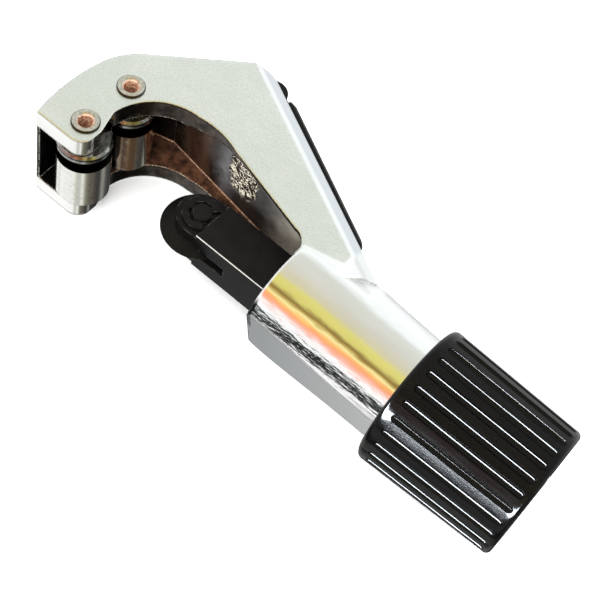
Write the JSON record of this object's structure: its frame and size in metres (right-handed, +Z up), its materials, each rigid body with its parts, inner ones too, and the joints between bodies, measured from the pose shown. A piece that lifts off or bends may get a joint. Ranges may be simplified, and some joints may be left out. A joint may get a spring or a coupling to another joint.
{
  "type": "tube cutter",
  "caption": "Screw-feed tube cutter: a C-shaped cast frame with guide rollers, a sliding cutter wheel, a fluted feed knob and a fold-out reamer.",
  "frame": {"origin": "on the feed axis, level with the axles of the two rollers and half way through the frame's thickness, where the tube is seated", "axes": "+X along the feed axis from the knob to the rollers, +Y out of the open side of the jaw, +Z up out of the upper cheek, along the tube being cut"},
  "size_m": [0.1298, 0.0545, 0.0328],
  "materials": {
    "cast_metal": "satin cheeks and a polished barrel",
    "roller_steel": "turned and polished",
    "rivet_steel": "nickel plated",
    "black_steel": "black oxide",
    "screw_steel": "oiled",
    "bushing_brass": "turned",
    "washer_nylon": "moulded",
    "knob_plastic": "glossy"
  },
  "bodies": {
    "frame": {"frame": "cast_metal", "front_roller_rivet": "rivet_steel", "rear_roller_rivet": "rivet_steel", "rear_bushing": "bushing_brass", "bushing_set_screw": "black_steel", "reamer_pin": "screw_steel"},
    "knob": {"knob": "knob_plastic", "knob_insert": "bushing_brass", "knob_washer": "screw_steel", "knob_screw": "screw_steel", "knob_cap": "knob_plastic", "feed_screw": "screw_steel", "thrust_washer": "screw_steel", "friction_washer": "washer_nylon"},
    "slide": {"slide": "black_steel", "wheel_pin": "black_steel", "wheel_pin_clip": "black_steel"},
    "cutter_wheel": {"cutter_wheel": "black_steel"},
    "front_roller": {"front_roller": "roller_steel"},
    "rear_roller": {"rear_roller": "roller_steel"},
    "reamer": {"reamer_blade": "black_steel"}
  },
  "joints": [
    {"name": "knob_turn", "type": "hinge", "parent": "frame", "child": "knob", "pos_m": [-0.1, 0, 0], "axis": [1, 0, 0], "range_deg": [-1920, 3600]},
    {"name": "slide_feed", "type": "slide", "parent": "frame", "child": "slide", "axis": [1, 0, 0], "range_m": [-0.00801, 0.01501]},
    {"name": "cutter_wheel_spin", "type": "hinge", "parent": "slide", "child": "cutter_wheel", "pos_m": [-0.0293, 0, 0], "axis": [0, 0, 1], "continuous": true},
    {"name": "front_roller_spin", "type": "hinge", "parent": "frame", "child": "front_roller", "pos_m": [0, 0.0052, 0], "axis": [0, 0, 1], "continuous": true},
    {"name": "rear_roller_spin", "type": "hinge", "parent": "frame", "child": "rear_roller", "pos_m": [0, -0.0087, 0], "axis": [0, 0, 1], "continuous": true},
    {"name": "reamer_swing", "type": "hinge", "parent": "frame", "child": "reamer", "pos_m": [-0.01946, -0.0344, 0], "axis": [0, 0, 1], "range_deg": [0, 175]}
  ],
  "couplings": [
    {"joint": "slide_feed", "follows": "knob_turn", "m_per_rad": 0.00023873}
  ]
}
